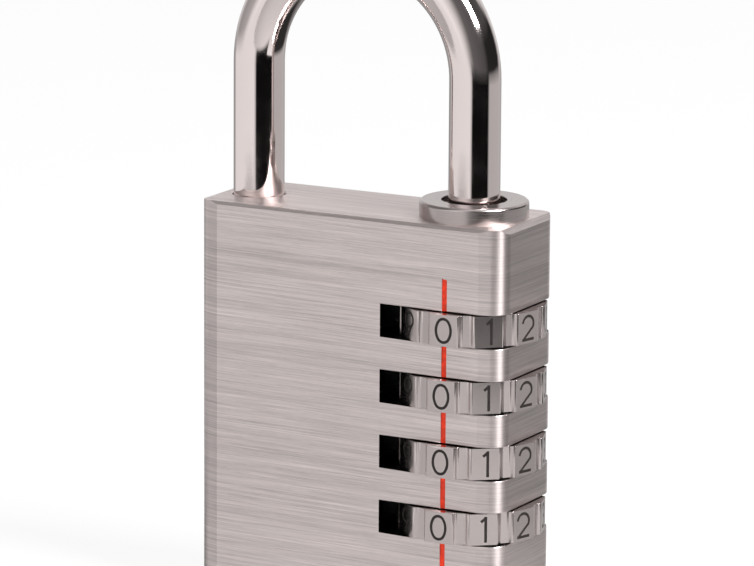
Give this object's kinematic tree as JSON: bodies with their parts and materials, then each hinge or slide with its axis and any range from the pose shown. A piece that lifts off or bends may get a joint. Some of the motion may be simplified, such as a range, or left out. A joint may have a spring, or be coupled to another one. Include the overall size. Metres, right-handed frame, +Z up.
{
  "type": "combination padlock",
  "caption": "Luggage padlock with a flat brushed metal body, a round sliding shackle in a collar, and a column of turning number dials wrapped round one corner.",
  "frame": {"origin": "centre of the body's underside", "axes": "+X towards the dials, -Y the front with the index line, +Z up towards the shackle"},
  "size_m": [0.0414, 0.0172, 0.08],
  "materials": {
    "brushed_nickel": "satin nickel plate with a fine horizontal brushed grain",
    "polished_nickel": "polished nickel plate",
    "chrome_rod": "mirror chrome plate on a hardened rod",
    "dial_metal": "semi-gloss nickel plate",
    "black_enamel": "black enamel fill in engraved numbers",
    "red_enamel": "orange-red enamel fill in an engraved line",
    "brass_sleeve": "turned brass",
    "zinc_steel": "zinc-plated steel",
    "spring_steel": "blackened spring steel, lightly oiled"
  },
  "bodies": {
    "casing": {"body": "brushed_nickel", "shackle_bushing": "polished_nickel", "index_line": "red_enamel", "base_plug": "brushed_nickel", "plug_pin": "zinc_steel", "channel_plug": "brushed_nickel", "upper_washer": "zinc_steel", "reset_spring": "spring_steel", "detent_spring": "spring_steel"},
    "shackle": {"shackle": "chrome_rod", "shackle_clip": "spring_steel"},
    "dial_1": {"dial_1": "dial_metal", "dial_1_digits": "black_enamel"},
    "dial_2": {"dial_2": "dial_metal", "dial_2_digits": "black_enamel"},
    "dial_3": {"dial_3": "dial_metal", "dial_3_digits": "black_enamel"},
    "dial_4": {"dial_4": "dial_metal", "dial_4_digits": "black_enamel"},
    "hub_1": {"hub_1": "brass_sleeve"},
    "hub_2": {"hub_2": "brass_sleeve"},
    "hub_3": {"hub_3": "brass_sleeve"},
    "hub_4": {"hub_4": "brass_sleeve"},
    "lower_washer": {"lower_washer": "zinc_steel"}
  },
  "joints": [
    {"name": "dial_1_turn", "type": "hinge", "parent": "casing", "child": "dial_1", "pos_m": [0.0128, 0, 0.035], "axis": [0, 0, 1], "continuous": true, "deforming": ["detent_spring"]},
    {"name": "dial_2_turn", "type": "hinge", "parent": "casing", "child": "dial_2", "pos_m": [0.0128, 0, 0.035], "axis": [0, 0, 1], "continuous": true},
    {"name": "dial_3_turn", "type": "hinge", "parent": "casing", "child": "dial_3", "pos_m": [0.0128, 0, 0.035], "axis": [0, 0, 1], "continuous": true},
    {"name": "dial_4_turn", "type": "hinge", "parent": "casing", "child": "dial_4", "pos_m": [0.0128, 0, 0.035], "axis": [0, 0, 1], "continuous": true},
    {"name": "shackle_lift", "type": "slide", "parent": "casing", "child": "shackle", "axis": [0, 0, 1], "range_m": [0, 0.00775]},
    {"name": "hub_1_reset", "type": "slide", "parent": "dial_1", "child": "hub_1", "axis": [0, 0, 1], "range_m": [-0.0016, 0], "stiffness_N_per_m": 300, "springref_m": 0.001, "deforming": ["reset_spring"]},
    {"name": "hub_2_reset", "type": "slide", "parent": "dial_2", "child": "hub_2", "axis": [0, 0, 1], "range_m": [-0.0016, 0]},
    {"name": "hub_3_reset", "type": "slide", "parent": "dial_3", "child": "hub_3", "axis": [0, 0, 1], "range_m": [-0.0016, 0]},
    {"name": "hub_4_reset", "type": "slide", "parent": "dial_4", "child": "hub_4", "axis": [0, 0, 1], "range_m": [-0.0016, 0]},
    {"name": "washer_reset", "type": "slide", "parent": "casing", "child": "lower_washer", "axis": [0, 0, 1], "range_m": [-0.0016, 0]}
  ],
  "couplings": [
    {"joint": "hub_2_reset", "follows": "hub_1_reset", "ratio": 1},
    {"joint": "hub_3_reset", "follows": "hub_1_reset", "ratio": 1},
    {"joint": "hub_4_reset", "follows": "hub_1_reset", "ratio": 1},
    {"joint": "washer_reset", "follows": "hub_1_reset", "ratio": 1}
  ]
}
